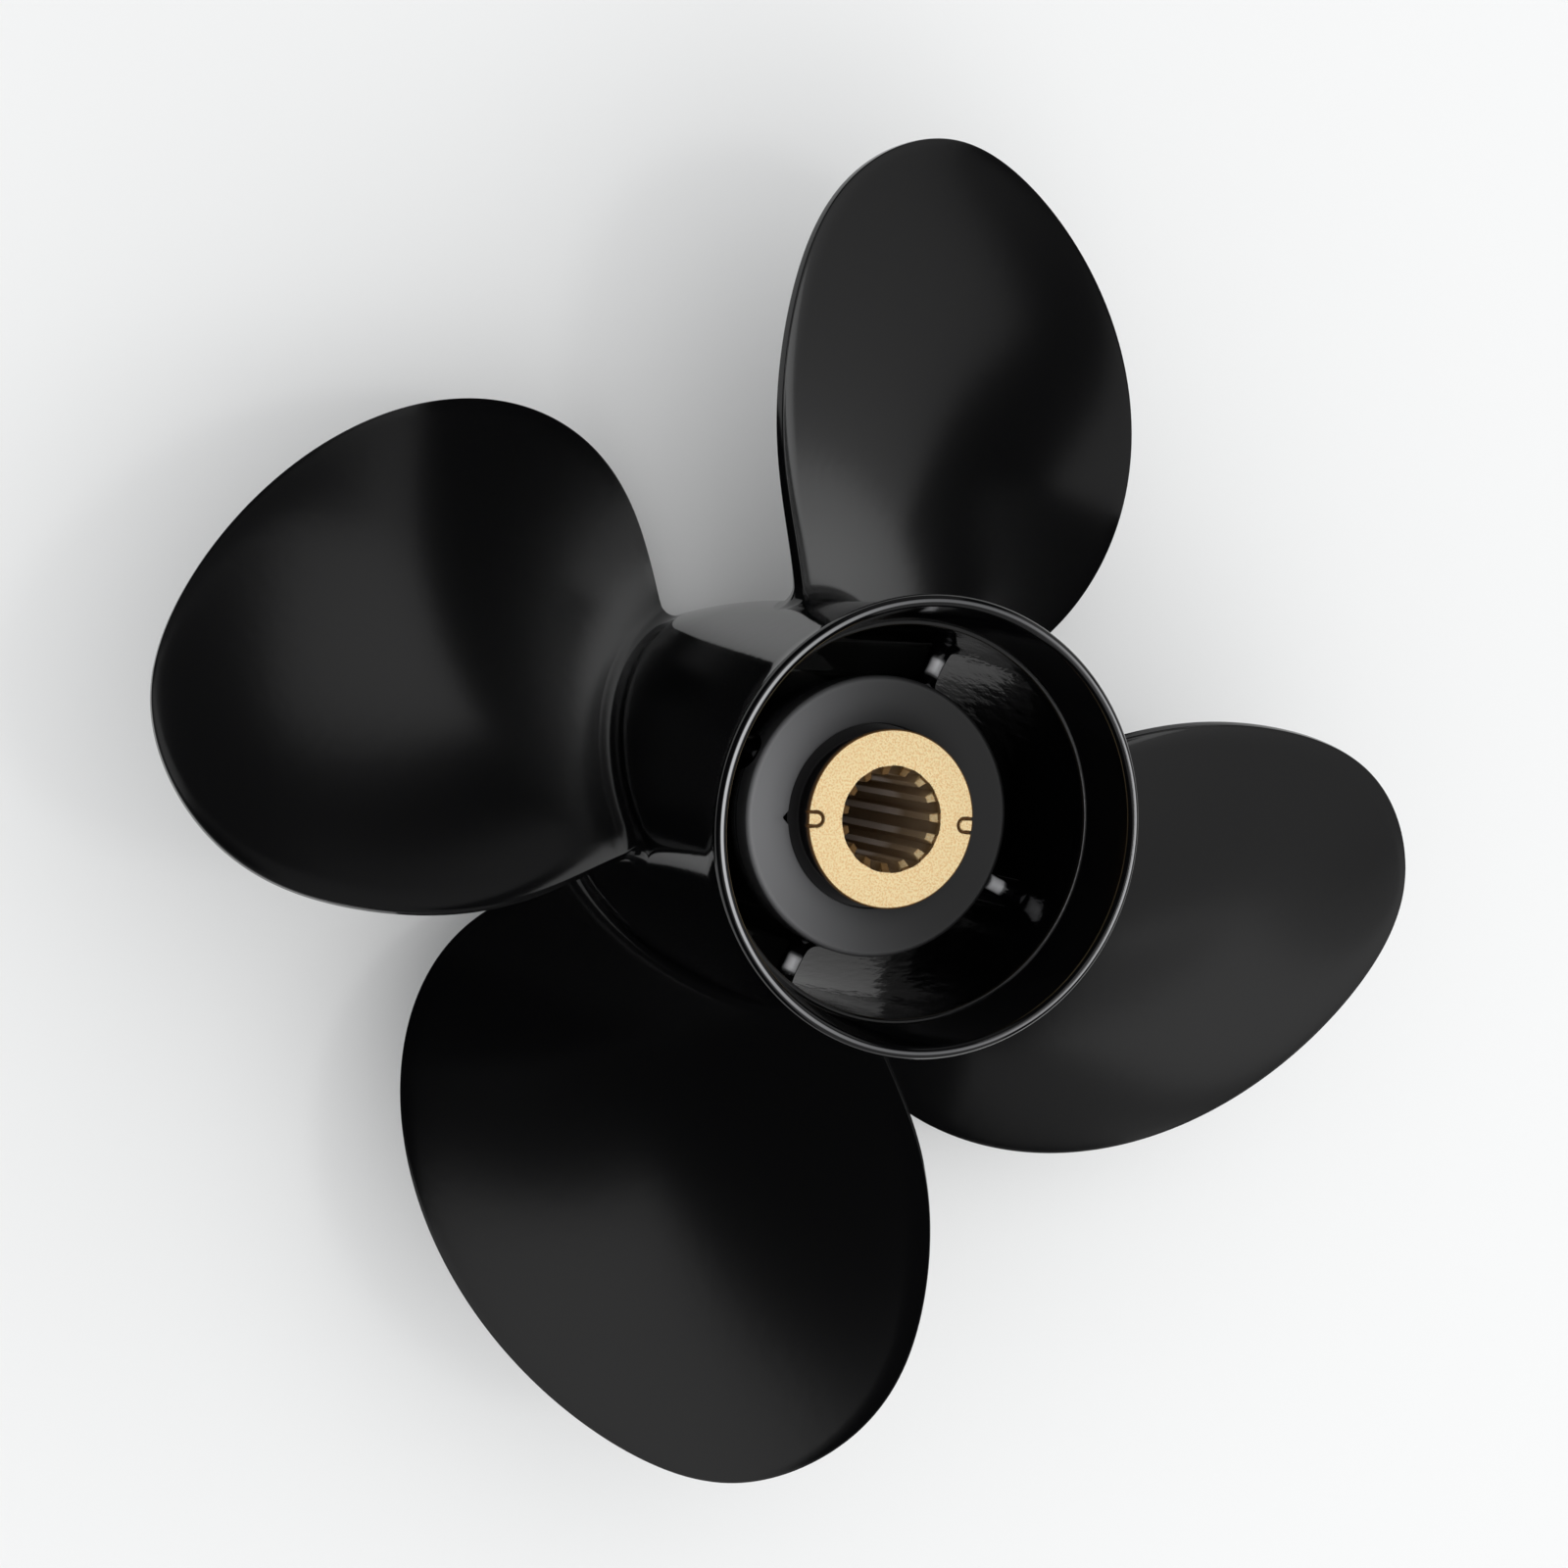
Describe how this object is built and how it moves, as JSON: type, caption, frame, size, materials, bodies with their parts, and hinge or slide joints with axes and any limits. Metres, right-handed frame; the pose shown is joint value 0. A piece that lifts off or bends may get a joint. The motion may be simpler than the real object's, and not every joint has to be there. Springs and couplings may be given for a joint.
{
  "type": "outboard boat propeller",
  "caption": "Right-hand boat propeller for an outboard motor: raked blades on an exhaust barrel with a flared ring, and a rubber-mounted splined brass sleeve.",
  "frame": {"origin": "on the shaft axis, in the plane of the barrel's fore rim, on which the propeller stands", "axes": "+Z along the shaft axis from the fore rim to the flared trailing ring; the root of blade_1 is centred 71 degrees from +X towards +Y"},
  "size_m": [0.3546, 0.3546, 0.148],
  "materials": {
    "gloss_black_paint": "gloss black paint over cast aluminium",
    "satin_black_paint": "black paint on the blades, softer in gloss",
    "black_rubber": "moulded black rubber",
    "cast_brass": "pale sand-cast brass, broached spline"
  },
  "bodies": {
    "root": {"exhaust_barrel": "gloss_black_paint", "flared_ring": "gloss_black_paint", "inner_hub": "gloss_black_paint", "rib_1": "gloss_black_paint", "rib_2": "gloss_black_paint", "rib_3": "gloss_black_paint", "rib_4": "gloss_black_paint", "blade_1": "satin_black_paint", "blade_2": "satin_black_paint", "blade_3": "satin_black_paint", "blade_4": "satin_black_paint", "rubber_bushing": "black_rubber", "splined_sleeve": "cast_brass"}
  },
  "joints": []
}
